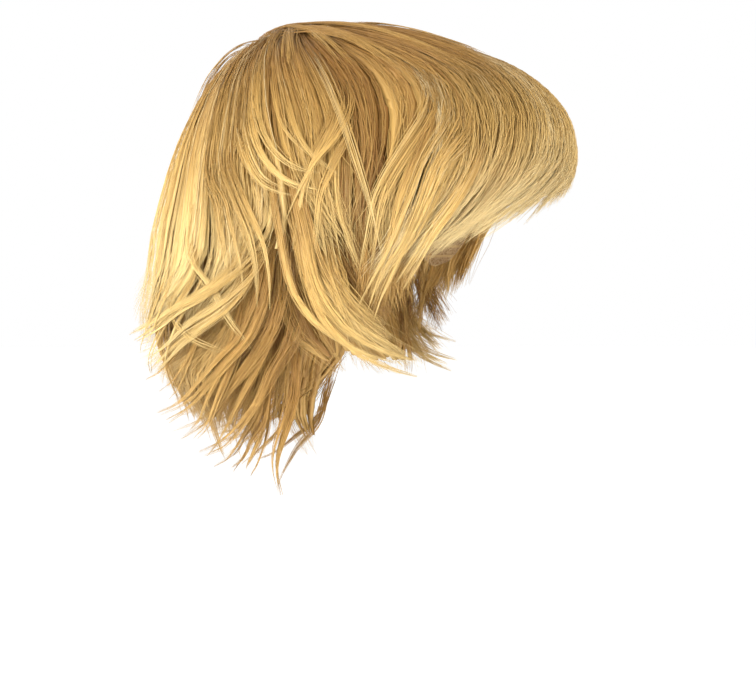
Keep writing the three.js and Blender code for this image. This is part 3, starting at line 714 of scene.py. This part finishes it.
crown_fibre = fibre_material("crown fibre", CROWN_TINTS, 0.42)
# A lock's tone is partly the fibre's own lighter and darker colour and partly painted shade and
# painted light: lower for a lock that lies in shade, higher for one the light falls on.
CROWN_TUFTS = (  # width, strands, tone, then the path's levels, angles and shares
    (0.024, 80, 0.5, (
        (0.09, 150, 0.98), (0.06, 142, 1.16), (0.032, 118, 1.24), (0.03, 72, 1.22),
        (0.06, 48, 1.15), (0.1, 40, 1.08), (0.16, 36, 1.02), (0.21, 34, 0.98),
    )),
    (0.02, 60, 0.45, (
        (0.09, 200, 0.97), (0.045, 215, 1.03), (0.02, 300, 1.08), (0.05, 10, 1.1), (0.1, 10, 1.06),
        (0.17, 12, 1),
    )),
    (0.024, 80, 0.5, (
        (0.1, 125, 0.98), (0.06, 108, 1.04), (0.055, 80, 1.1), (0.09, 63, 1.08), (0.15, 57, 1.03),
        (0.22, 55, 0.99),
    )),
    (0.02, 60, 0.55, (
        (0.07, 170, 0.98), (0.035, 160, 1.12), (0.025, 105, 1.16), (0.06, 80, 1.1),
        (0.12, 73, 1.04), (0.2, 71, 0.99),
    )),
    (0.02, 56, 0.5, (
        (0.06, 200, 0.98), (0.02, 175, 1.08), (0.015, 115, 1.12), (0.05, 98, 1.08),
        (0.11, 95, 1.03), (0.2, 94, 1),
    )),
    (0.02, 56, 0.42, (
        (0.06, 220, 0.98), (0.025, 200, 1.08), (0.02, 130, 1.1), (0.06, 112, 1.07),
        (0.12, 109, 1.02), (0.19, 108, 0.99),
    )),
    (0.016, 40, 0.45, (
        (0.07, 240, 0.97), (0.04, 270, 1.05), (0.04, 320, 1.08), (0.1, 335, 1.05),
        (0.17, 335, 0.99),
    )),
    (0.012, 24, 0.65, (
        (0.05, 150, 0.98), (0.1, 158, 1.1), (0.16, 163, 1.15), (0.22, 166, 1.1), (0.28, 168, 1),
    )),
    (0.01, 16, 0.6, (
        (0.08, 160, 0.98), (0.13, 168, 1.1), (0.19, 172, 1.13), (0.26, 175, 1.02),
    )),
)


def laid_locks(rows, length_seen, seed):
    """The locks of a table, each laid as a few wisps that part from its path towards the tip. The
    fibre's colour runs from the first to the second place of length_seen, between root and tip."""
    draw = np.random.default_rng(seed)
    parts = []
    for width, strands, tone, path in rows:
        wisps = max(1, round(width / LAID_WISP))
        along = np.linspace(0, 1, len(path))[:, None]
        for _ in range(wisps):
            beside = draw.normal(0, 1, 3) * ROOT_SPREAD + draw.normal(0, 1, 3) * TIP_SPREAD * along**2
            wisp_tone = tone + draw.normal(0, LAID_TONE_SPREAD)
            laid = shaped_lock(
                np.array(path) + beside,
                LAID_OVERLAP * width / wisps,
                strands // wisps,
                wisp_tone,
                length_seen,
                draw,
            )
            parts.append(laid)
    return parts


crown_parts = layer_hair(CROWN, 11) + laid_locks(CROWN_TUFTS, (0.15, 0.5), 110)
crown = hair_object("crown_strands", crown_parts, crown_fibre)
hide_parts("crown_hair")


# The fringe is the front hair, sewn along the parting side of the cap's top, brushed across the
# forehead from the wearer's left to the right, and set to turn under at its cut ends.
# The fringe's Root tint is darker than the crown's, as painted shade along its top, and its Tip tint
# is lighter, as painted light on its lower ends.
FRINGE_TINTS = {
    "Root": (0.22, 0.1, 0.022),
    "Length": (0.66, 0.42, 0.125),
    "Tip": (0.86, 0.67, 0.33),
    "Shadow": (0.34, 0.17, 0.04),
    "Highlight": (0.98, 0.84, 0.52),
}
FRINGE = {
    "flow": (
        (0, -62, 0.4, 0.49, 0, 4, 0.1),
        (0.25, -32, 0.42, 0.51, 0, 6, 0.1),
        (0.5, -2, 0.45, 0.54, 0, 6, 0.06),
        (0.75, 27, 0.45, 0.585, 0, 5, 0.1),
        (1, 60, 0.45, 0.61, 0, 2, 0.1),
    ),
    "comb": {
        "first_level": 0.1,
        "level_step": 0.1,
        "angles": (
            (-62, -62, -60, -57, -50, -40),
            (-32, -30, -27, -20, -9, 10),
            (-10, -10, -7, -2, 8, 30),
            (8, 2, 6, 11, 20, 45),
            (25, 16, 18, 25, 36, 60),
            (38, 30, 33, 41, 52, 67),
            (48, 43, 50, 56.5, 62, 70),
            (60, 50, 56, 62, 69, 75),
        ),
    },
    "band": ((0.1, 0.1, 0.45), (0.18, 0.2, 0.8), (0.27, 0.4, 1), (1, 0.5, 1)),
    "root": 0.1,
    "root_spread": 0.16,
    "gather": 0.25,
    "length_seen": (0.04, 0.6),
    "relief": 0.0006,
    "strands": 2600,
    "locks": 12,
    "round": False,
    "drift": 3,
}
fringe_fibre = fibre_material("fringe fibre", FRINGE_TINTS, 0.42)
fringe = hair_object("fringe_strands", layer_hair(FRINGE, 21), fringe_fibre)
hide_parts("fringe")


# The side hair hangs under the crown's layer at each side down to the jaw: straight fibre, sewn in
# wefts round the cap. The cheek locks curl forward over it, and loose locks lie over both and over
# the back. The left side mirrors the right, with its locks drawn anew.
# These tints are darker than the crown's, as painted shade on the hair that hangs under the crown's
# layer.
SHADED_UNDER_TINTS = {
    "Root": (0.3, 0.135, 0.028),
    "Length": (0.49, 0.272, 0.066),
    "Tip": (0.63, 0.395, 0.125),
    "Shadow": (0.24, 0.105, 0.022),
    "Highlight": (0.86, 0.66, 0.32),
}
SIDE = {
    "flow": (
        (0, 44, 0.54, 0.62, 0, 2, 0.15),
        (0.2, 58, 0.54, 0.67, 0, 2, 0.1),
        (0.4, 78, 0.54, 0.71, 0, 0, -0.25),
        (0.55, 92, 0.58, 0.7, 0, 0, -0.2),
        (0.68, 102, 0.63, 0.76, 0, -2, -0.12),
        (0.76, 110, 0.63, 0.82, 0.02, 4, -0.15),
        (1, 124, 0.63, 0.84, 0.06, 8, -0.08),
    ),
    "comb": COMB,
    "band": (
        (0.27, 0.1, 0.55),
        (0.45, 0.25, 0.66),
        (0.54, 0.3, 0.7),
        (0.63, 0.4, 0.8),
        (0.72, 0.4, 0.78),
        (1, 0.3, 0.7),
    ),
    "root": 0.27,
    "root_spread": 0.1,
    "gather": 0.8,
    "length_seen": (0.12, 0.78),
    "relief": 0.0013,
    "strands": 1400,
    "locks": 9,
    "round": False,
    "drift": 4,
}
CHEEK = {
    "flow": (
        (0, 95, 0.63, 0.735, 0, -1, -0.06),
        (0.5, 99, 0.63, 0.765, 0, -3, 0),
        (1, 104, 0.63, 0.775, 0, -4, 0.08),
    ),
    "comb": COMB,
    "band": (
        (0.45, 0.52, 0.69),
        (0.54, 0.64, 0.84),
        (0.63, 0.84, 1.0),
        (0.72, 0.8, 0.98),
        (1, 0.5, 0.72),
    ),
    "root": 0.45,
    "root_spread": 0.08,
    "gather": 0.75,
    "length_seen": (0.3, 0.82),
    "relief": 0.0013,
    "strands": 260,
    "locks": 3,
    "round": False,
    "drift": 3,
}
shaded_under_fibre = fibre_material("shaded under fibre", SHADED_UNDER_TINTS, 0.45)
# As at the crown, a lock's tone here is partly its own colour and partly painted shade and painted
# light.
LOCKS_OVER_SIDE = (  # width, strands, tone, then the path's levels, angles and shares
    (0.007, 44, 0.58, (
        (0.12, 112, 0.99), (0.22, 111, 1), (0.305, 110, 1.02), (0.365, 107, 1.03),
        (0.405, 103, 1.03), (0.43, 98.5, 1.02), (0.445, 92, 1.01),
    )),
    (0.005, 30, 0.55, (
        (0.2, 103, 0.99), (0.275, 101.5, 1), (0.33, 99.5, 1.02), (0.365, 96.5, 1.02),
        (0.39, 93, 1.01), (0.41, 90, 1),
    )),
    (0.008, 50, 0.58, (
        (0.25, 116, 0.99), (0.325, 115, 1), (0.365, 112, 1.02), (0.395, 109, 1.03),
        (0.43, 104, 1.02), (0.445, 98, 1.01), (0.45, 93, 1),
    )),
    (0.006, 36, 0.5, (
        (0.22, 76, 0.99), (0.3, 79, 1.02), (0.36, 85, 1.03), (0.41, 91, 1.03), (0.47, 96, 1.02),
        (0.52, 98.5, 1),
    )),
    (0.006, 36, 0.56, (
        (0.25, 79, 0.99), (0.33, 82, 1.01), (0.4, 88.5, 1.02), (0.455, 93, 1.02), (0.52, 96, 1.01),
        (0.585, 98.5, 1),
    )),
    (0.003, 20, 0.65, (
        (0.12, 80, 1), (0.2, 79.5, 1.01), (0.28, 80, 1.02), (0.385, 80.5, 1.02), (0.49, 80.3, 1.01),
        (0.56, 81, 1),
    )),
    (0.007, 45, 0.5, (
        (0.2, 46, 0.98), (0.29, 53, 1.01), (0.385, 67, 1.02), (0.465, 75, 1.01),
        (0.535, 77.5, 0.99), (0.6, 79, 0.95),
    )),
    (0.007, 45, 0.62, (
        (0.22, 42, 0.98), (0.33, 51, 1.01), (0.405, 62, 1.02), (0.495, 68, 1.02), (0.57, 72, 1),
        (0.655, 78, 0.97), (0.69, 80, 0.93),
    )),
    (0.009, 60, 0.66, (
        (0.27, 40, 0.98), (0.385, 50, 1.01), (0.43, 58.5, 1.02), (0.505, 63.6, 1.02),
        (0.565, 67.5, 1), (0.625, 74, 0.96), (0.66, 76, 0.92),
    )),
    (0.008, 50, 0.62, (
        (0.34, 43, 0.99), (0.42, 51, 1.01), (0.485, 57.3, 1.01), (0.535, 62.6, 1),
        (0.575, 65.6, 0.98), (0.62, 69.7, 0.94),
    )),
    (0.01, 60, 0.38, (
        (0.25, 48, 0.97), (0.33, 56, 0.99), (0.4, 64, 1), (0.46, 68.5, 1), (0.53, 71, 0.98),
        (0.6, 74, 0.96), (0.66, 77, 0.92),
    )),
    (0.006, 36, 0.56, (
        (0.35, 131, 1), (0.435, 126, 1.01), (0.475, 121, 1.02), (0.54, 118, 1.02),
        (0.59, 116, 1.01), (0.66, 115, 1),
    )),
    (0.006, 36, 0.55, (
        (0.3, 125, 0.99), (0.395, 123, 1.01), (0.44, 119, 1.02), (0.49, 115, 1.02),
        (0.54, 111.5, 1.02), (0.59, 110, 1.01), (0.67, 109.5, 1),
    )),
)
CHEEK_LOCKS = (
    (0.014, 200, 0.46, (
        (0.36, 100, 0.96), (0.43, 100, 1), (0.49, 99, 1.02), (0.54, 98, 1.03), (0.6, 97, 1.04),
        (0.65, 95, 1.03), (0.69, 91.5, 1.02), (0.72, 87, 1), (0.745, 80.5, 0.97),
        (0.765, 73.5, 0.94), (0.78, 66, 0.9),
    )),
    (0.008, 70, 0.36, (
        (0.4, 97, 0.97), (0.445, 97, 1), (0.535, 95.5, 1.01), (0.6, 94, 1.01), (0.655, 91, 1),
        (0.695, 87, 0.98), (0.73, 80.5, 0.95), (0.755, 74, 0.92),
    )),
)
FLICKED_LOCKS = (
    (0.013, 120, 0.62, (
        (0.5, 107, 0.96), (0.58, 113, 1), (0.62, 119, 1.02), (0.655, 126, 1.04), (0.69, 136, 1.05),
        (0.72, 143.5, 1.08), (0.745, 151, 1.15), (0.765, 160, 1.22),
    )),
    (0.009, 60, 0.6, (
        (0.54, 110, 0.96), (0.62, 113, 0.99), (0.67, 117.5, 1.01), (0.705, 124, 1.02),
        (0.745, 134, 1.04), (0.785, 144.5, 1.1), (0.82, 156, 1.22),
    )),
    (0.008, 50, 0.6, (
        (0.56, 128, 0.98), (0.63, 131, 1), (0.69, 138, 1.02), (0.74, 145, 1.08),
        (0.785, 152.5, 1.18), (0.82, 159, 1.28),
    )),
    (0.006, 24, 0.6, (
        (0.6, 145, 1.01), (0.68, 146, 1.05), (0.74, 150, 1.12), (0.79, 159, 1.22),
    )),
    (0.003, 10, 0.65, (
        (0.66, 141.5, 1.05), (0.715, 139, 1.06), (0.755, 132, 1.06), (0.77, 124, 1.05),
        (0.775, 118.5, 1.04),
    )),
    (0.005, 26, 0.55, (
        (0.46, 137, 0.99), (0.59, 133, 1.01), (0.64, 125, 1.02), (0.69, 120, 1.03),
        (0.735, 115, 1.03), (0.765, 113, 1.02),
    )),
)
LOW_LOCKS = (
    (0.013, 110, 0.5, (
        (0.55, 107, 0.95), (0.62, 108, 0.98), (0.68, 109.5, 1), (0.73, 113, 1.01),
        (0.77, 120, 1.02), (0.8175, 133, 1.01), (0.86, 144.5, 1.21), (0.89, 154, 1.58),
        (0.91, 160, 2.02),
    )),
    (0.01, 80, 0.4, (
        (0.6, 104, 0.93), (0.66, 105, 0.96), (0.72, 107, 0.98), (0.77, 112, 1), (0.8175, 121, 0.98),
        (0.8625, 134, 1.03), (0.9, 144, 1.29), (0.925, 153, 1.63), (0.945, 159, 2.18),
    )),
    (0.01, 80, 0.34, (
        (0.66, 101, 0.9), (0.735, 103, 0.94), (0.79, 109, 0.97), (0.8425, 116, 1.03),
        (0.8875, 128, 1.1), (0.9225, 141, 1.26), (0.945, 150, 1.6), (0.96, 156, 2.14),
    )),
    (0.009, 70, 0.34, (
        (0.74, 108, 0.88), (0.81, 112, 0.93), (0.875, 119, 1), (0.9175, 134, 1.03),
        (0.9475, 145, 1.22), (0.9675, 152, 1.68),
    )),
    (0.008, 46, 0.5, (
        (0.62, 124, 0.9), (0.7, 128, 0.94), (0.7625, 137, 0.96), (0.8025, 145, 1.04),
        (0.835, 153, 1.21), (0.8575, 160, 1.48),
    )),
    (0.009, 56, 0.4, (
        (0.6, 116, 0.86), (0.68, 117, 0.9), (0.75, 121, 0.94), (0.81, 128, 1.05),
        (0.8575, 135, 1.3), (0.895, 145, 1.56), (0.92, 154, 1.97),
    )),
)
NAPE_LOCKS = (
    (0.013, 120, 0.38, (
        (0.74, 103, 0.84), (0.82, 105, 0.88), (0.89, 115, 0.9), (0.935, 125, 0.94),
        (0.97, 132, 0.96), (0.995, 136, 0.97),
    )),
    (0.008, 60, 0.38, (
        (0.76, 110, 0.85), (0.84, 114, 0.9), (0.9, 124, 0.98), (0.94, 138, 1.1), (0.96, 152, 1.2),
    )),
)


def mirror_of(parts):
    """The same bodies and strands at the wearer's other side, with their rings turned round."""
    flip = np.array((-1, 1, 1))
    return [(rings[:, :, ::-1] * flip, tone[:, :, ::-1], length) for rings, tone, length in parts]


for side_name, seed in (("right", 31), ("left", 431)):
    side_parts = layer_hair(SIDE, seed)
    side_parts += laid_locks(LOW_LOCKS, (0.5, 1), seed + 100)
    cheek_parts = layer_hair(CHEEK, seed + 2)
    cheek_parts += laid_locks(CHEEK_LOCKS, (0.25, 0.95), seed + 200)
    over_parts = laid_locks(LOCKS_OVER_SIDE, (0.25, 0.9), seed + 300)
    over_parts += laid_locks(FLICKED_LOCKS, (0.5, 1), seed + 400)
    if side_name == "left":
        side_parts, cheek_parts, over_parts = map(mirror_of, (side_parts, cheek_parts, over_parts))
    side_hair = hair_object(f"side_strands_{side_name}", side_parts, shaded_under_fibre)
    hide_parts(f"side_hair_{side_name}")
    cheek_lock = hair_object(f"cheek_strands_{side_name}", cheek_parts, crown_fibre)
    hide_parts(f"cheek_lock_{side_name}")
    hair_object(f"loose_locks_{side_name}", over_parts, crown_fibre)


# The back hair hangs under the crown's layer at the back: straight fibre, sewn in wefts across the
# cap and cut in steps, so that its ends flick out.
BACK = {
    "flow": (
        (0, 122, 0.63, 0.84, 0.16, 4, 0.05),
        (0.25, 144, 0.72, 0.87, 0.3, 4, 0.18),
        (0.5, 180, 0.72, 0.88, 0.4, 0, 0.18),
    ),
    "comb": COMB,
    "band": ((0.27, 0, 0.62), (0.45, 0.24, 0.64), (0.72, 0.42, 0.72), (0.81, 0.6, 0.95), (1, 0.6, 1)),
    "root": 0.27,
    "root_spread": 0.15,
    "gather": 0.8,
    "length_seen": (0.1, 0.88),
    "relief": 0.0013,
    "strands": 1800,
    "locks": 11,
    "round": True,
    "drift": 3,
}
# As at the crown, a lock's tone here is partly its own colour and partly painted shade and painted
# light.
BACK_LOCKS = (
    (0.012, 60, 0.55, (
        (0.52, 150, 0.7), (0.66, 151, 0.88), (0.76, 153, 1), (0.83, 156, 1.12), (0.875, 159, 1.3),
        (0.9, 161, 1.5),
    )),
    (0.012, 60, 0.5, (
        (0.52, 164, 0.7), (0.68, 165, 0.88), (0.78, 166, 1), (0.85, 168, 1.12), (0.9, 170, 1.35),
    )),
    (0.012, 60, 0.5, (
        (0.54, 175, 0.65), (0.7, 175, 0.85), (0.8, 176, 0.98), (0.87, 177, 1.15),
        (0.915, 178, 1.45),
    )),
    (0.01, 50, 0.45, (
        (0.64, 158, 0.6), (0.78, 159, 0.8), (0.86, 161, 0.98), (0.92, 163, 1.25), (0.95, 164, 1.5),
    )),
    (0.01, 50, 0.45, (
        (0.64, 172, 0.6), (0.78, 172, 0.8), (0.86, 173, 0.98), (0.92, 174, 1.25), (0.95, 175, 1.5),
    )),
)
back_parts = layer_hair(BACK, 51) + laid_locks(BACK_LOCKS, (0.5, 1), 510)
back_parts += mirror_of(laid_locks(BACK_LOCKS, (0.5, 1), 530))
back = hair_object("back_strands", back_parts, shaded_under_fibre)
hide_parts("back_hair")


# The nape hair is the lowest layer: straight fibre, sewn along the cap's lower edge, tapered to
# the neck and turned out at its tips.
NAPE = {
    "flow": (
        (0, 104, 0.72, 0.82, 0, 2, -0.05),
        (0.08, 112, 0.76, 0.94, 0, 2, -0.08),
        (0.14, 120, 0.76, 0.93, 0.1, 4, -0.05),
        (0.3, 146, 0.76, 0.915, 0.35, 4, 0),
        (0.5, 180, 0.76, 0.905, 0.5, 0, 0),
    ),
    "comb": {
        "first_level": 0.4,
        "level_step": 0.1,
        "angles": (
            (104, 104, 105, 107, 112, 118, 122),
            (112, 112, 113, 116, 122, 130, 134),
            (122, 122, 123, 127, 135, 146, 152),
            (146, 146, 147, 150, 156, 163, 167),
            (180, 180, 180, 180, 180, 180, 180),
        ),
    },
    "band": (
        (0.45, 0, 0.18),
        (0.54, 0, 0.28),
        (0.72, 0.1, 0.38),
        (0.81, 0.2, 0.52),
        (0.9, 0.3, 0.95),
        (1, 0.1, 1),
    ),
    "root": 0.45,
    "root_spread": 0.15,
    "gather": 0.75,
    "length_seen": (0.25, 0.95),
    "relief": 0.0013,
    "strands": 1500,
    "locks": 13,
    "round": True,
    "drift": 2.5,
}
nape_parts = layer_hair(NAPE, 61) + laid_locks(NAPE_LOCKS, (0.4, 1), 640)
nape = hair_object("nape_strands", nape_parts, shaded_under_fibre)
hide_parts("nape_hair")
